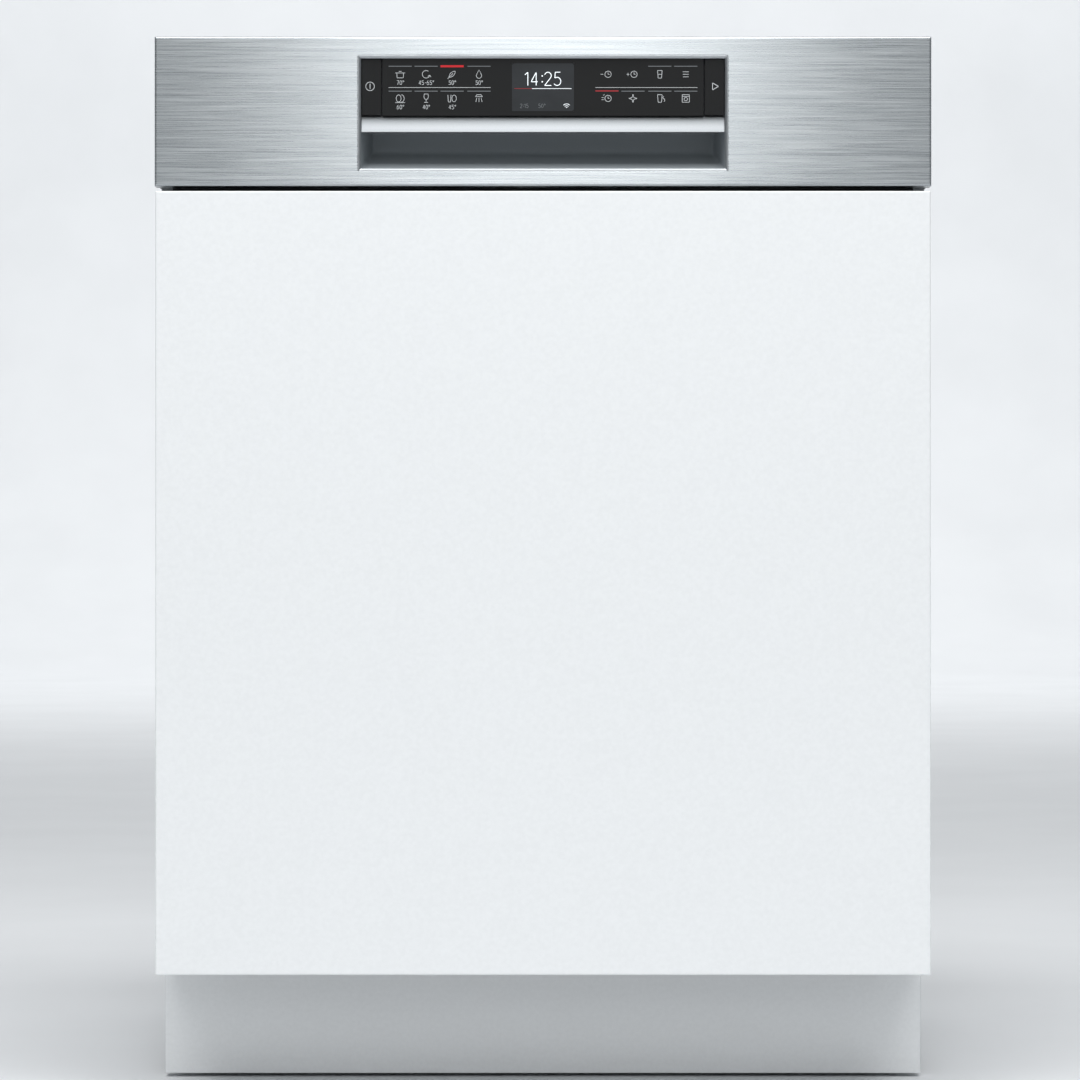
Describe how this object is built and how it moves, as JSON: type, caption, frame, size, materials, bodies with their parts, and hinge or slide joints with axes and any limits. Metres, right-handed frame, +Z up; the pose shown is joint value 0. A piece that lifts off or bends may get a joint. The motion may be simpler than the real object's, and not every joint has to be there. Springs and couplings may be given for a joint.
{
  "type": "built-in dishwasher",
  "caption": "Built-in dishwasher with a white furniture panel, brushed steel fascia, black control strip and grip pocket; the door drops open and the racks slide out.",
  "frame": {"origin": "centre of the footprint on the floor", "axes": "+X to the machine's right seen from the front, +Y to its back, +Z up"},
  "size_m": [0.598, 0.573, 0.815],
  "materials": {
    "brushed_stainless": "horizontal brushed",
    "white_lacquer": "satin lacquer on board",
    "tub_stainless": "cold rolled",
    "galvanised": "zinc coated",
    "dark_sheet": "matt powder coat",
    "black_panel": "gloss",
    "satin_aluminium": "satin anodised",
    "dark_plastic": "moulded",
    "grey_plastic": "moulded",
    "black_plastic": "moulded",
    "white_plastic": "moulded",
    "gasket_rubber": "moulded",
    "bitumen": "pressed mat",
    "coated_wire": "coated steel wire",
    "board_green": "laminate",
    "motor_metal": "cast"
  },
  "bodies": {
    "cabinet": {"door_strike": "galvanised", "hinge_brackets": "galvanised", "tub_wrapper": "tub_stainless", "tub_back": "tub_stainless", "tub_floor": "tub_stainless", "door_gasket": "gasket_rubber", "side_panel_left": "galvanised", "side_panel_right": "galvanised", "rear_panel": "galvanised", "top_crossbar": "galvanised", "sound_mat": "bitumen", "base_tray": "dark_plastic", "plinth_board": "white_lacquer", "sump": "dark_plastic", "filter_plate": "tub_stainless", "circulation_pump": "motor_metal", "drain_pump": "black_plastic", "softener": "white_plastic", "inlet_valve": "black_plastic", "rear_ports": "black_plastic", "rear_duct": "grey_plastic", "ceiling_shower": "grey_plastic", "rack_rails": "galvanised"},
    "door": {"door_outer": "dark_sheet", "door_liner": "tub_stainless", "furniture_panel": "white_lacquer", "fascia": "brushed_stainless", "window_trim": "satin_aluminium", "control_housing": "dark_plastic", "handle_pocket": "grey_plastic", "handle_lip": "satin_aluminium", "control_strip": "black_panel", "display_window": "black_panel", "control_board": "board_green", "dispenser_body": "grey_plastic", "latch_housing": "dark_plastic", "hinge_arms": "galvanised", "door_screws": "galvanised"},
    "upper_rack": {"upper_rack": "coated_wire", "upper_runners": "galvanised", "upper_feed_pipe": "grey_plastic"},
    "on_off_button": {"on_off_button": "black_panel"},
    "start_button": {"start_button": "black_panel"},
    "dispenser_lid": {"dispenser_lid": "grey_plastic"},
    "rinse_cap": {"rinse_cap": "grey_plastic"},
    "latch_lever": {"latch_lever": "black_plastic"},
    "foot_front_left": {"foot_front_left": "black_plastic"},
    "foot_front_right": {"foot_front_right": "black_plastic"},
    "foot_rear": {"foot_rear": "black_plastic"},
    "upper_spray_arm": {"upper_spray_arm": "grey_plastic"},
    "upper_tines": {"upper_tines": "coated_wire"},
    "wheels_front": {"wheels_front": "grey_plastic"},
    "wheels_middle": {"wheels_middle": "grey_plastic"},
    "wheels_rear": {"wheels_rear": "grey_plastic"},
    "lower_tines": {"lower_tines": "coated_wire"},
    "cutlery_tray": {"cutlery_tray": "grey_plastic"},
    "lower_spray_arm": {"lower_spray_arm": "grey_plastic"},
    "filter_cylinder": {"filter_cylinder": "grey_plastic"},
    "salt_cap": {"salt_cap": "white_plastic"},
    "lower_rack": {"lower_rack": "coated_wire"}
  },
  "joints": [
    {"name": "door_hinge", "type": "hinge", "parent": "cabinet", "child": "door", "pos_m": [0, -0.2306, 0.1062], "axis": [1, 0, 0], "range_deg": [0, 90], "stiffness_Nm_per_rad": 28, "springref_deg": -8.59},
    {"name": "upper_rack_slide", "type": "slide", "parent": "cabinet", "child": "upper_rack", "axis": [0, -1, 0], "range_m": [0, 0.4]},
    {"name": "lower_rack_slide", "type": "slide", "parent": "cabinet", "child": "lower_rack", "axis": [0, -1, 0], "range_m": [0, 0.25]},
    {"name": "cutlery_tray_slide", "type": "slide", "parent": "cabinet", "child": "cutlery_tray", "axis": [0, -1, 0], "range_m": [0, 0.4]},
    {"name": "wheels_front_roll", "type": "hinge", "parent": "lower_rack", "child": "wheels_front", "pos_m": [0, -0.0875, 0.1674], "axis": [1, 0, 0], "continuous": true},
    {"name": "wheels_middle_roll", "type": "hinge", "parent": "lower_rack", "child": "wheels_middle", "pos_m": [0, 0.0445, 0.1674], "axis": [1, 0, 0], "continuous": true},
    {"name": "wheels_rear_roll", "type": "hinge", "parent": "lower_rack", "child": "wheels_rear", "pos_m": [0, 0.1765, 0.1674], "axis": [1, 0, 0], "continuous": true},
    {"name": "lower_arm_spin", "type": "hinge", "parent": "cabinet", "child": "lower_spray_arm", "pos_m": [0, 0.018, 0.165], "axis": [0, 0, 1], "continuous": true},
    {"name": "upper_arm_spin", "type": "hinge", "parent": "upper_rack", "child": "upper_spray_arm", "pos_m": [0, 0.018, 0.4795], "axis": [0, 0, 1], "continuous": true},
    {"name": "on_off_press", "type": "slide", "parent": "door", "child": "on_off_button", "axis": [0, 1, 0], "range_m": [0, 0.0012], "stiffness_N_per_m": 1200},
    {"name": "start_press", "type": "slide", "parent": "door", "child": "start_button", "axis": [0, 1, 0], "range_m": [0, 0.0012], "stiffness_N_per_m": 1200},
    {"name": "dispenser_lid_slide", "type": "slide", "parent": "door", "child": "dispenser_lid", "axis": [0, 0, 1], "range_m": [0, 0.054]},
    {"name": "rinse_cap_turn", "type": "hinge", "parent": "door", "child": "rinse_cap", "pos_m": [0.0222, -0.2176, 0.43], "axis": [0, 1, 0], "range_deg": [0, 90]},
    {"name": "latch_lever_turn", "type": "hinge", "parent": "door", "child": "latch_lever", "pos_m": [0, -0.2553, 0.7908], "axis": [-1, 0, 0], "range_deg": [0, 12], "stiffness_Nm_per_rad": 0.2},
    {"name": "filter_turn", "type": "hinge", "parent": "cabinet", "child": "filter_cylinder", "pos_m": [0.042, -0.01, 0.138], "axis": [0, 0, 1], "range_deg": [0, 90]},
    {"name": "salt_cap_turn", "type": "hinge", "parent": "cabinet", "child": "salt_cap", "pos_m": [-0.166, -0.118, 0.138], "axis": [0, 0, 1], "range_deg": [0, 180]},
    {"name": "lower_tines_fold", "type": "hinge", "parent": "lower_rack", "child": "lower_tines", "pos_m": [0, 0.114, 0.20205], "axis": [1, 0, 0], "range_deg": [0, 90]},
    {"name": "upper_tines_fold", "type": "hinge", "parent": "upper_rack", "child": "upper_tines", "pos_m": [0, 0.11, 0.52005], "axis": [1, 0, 0], "range_deg": [0, 90]},
    {"name": "foot_front_left_screw", "type": "slide", "parent": "cabinet", "child": "foot_front_left", "axis": [0, 0, -1], "range_m": [0, 0.06]},
    {"name": "foot_front_right_screw", "type": "slide", "parent": "cabinet", "child": "foot_front_right", "axis": [0, 0, -1], "range_m": [0, 0.06]},
    {"name": "foot_rear_screw", "type": "slide", "parent": "cabinet", "child": "foot_rear", "axis": [0, 0, -1], "range_m": [0, 0.06]}
  ],
  "couplings": [
    {"joint": "upper_rack_slide", "follows": "door_hinge", "m_per_rad": 0.2546},
    {"joint": "cutlery_tray_slide", "follows": "door_hinge", "m_per_rad": 0.2546},
    {"joint": "lower_rack_slide", "follows": "door_hinge", "m_per_rad": 0.1591},
    {"joint": "wheels_front_roll", "follows": "door_hinge", "ratio": 9.3588},
    {"joint": "wheels_middle_roll", "follows": "door_hinge", "ratio": 9.3588},
    {"joint": "wheels_rear_roll", "follows": "door_hinge", "ratio": 9.3588}
  ]
}
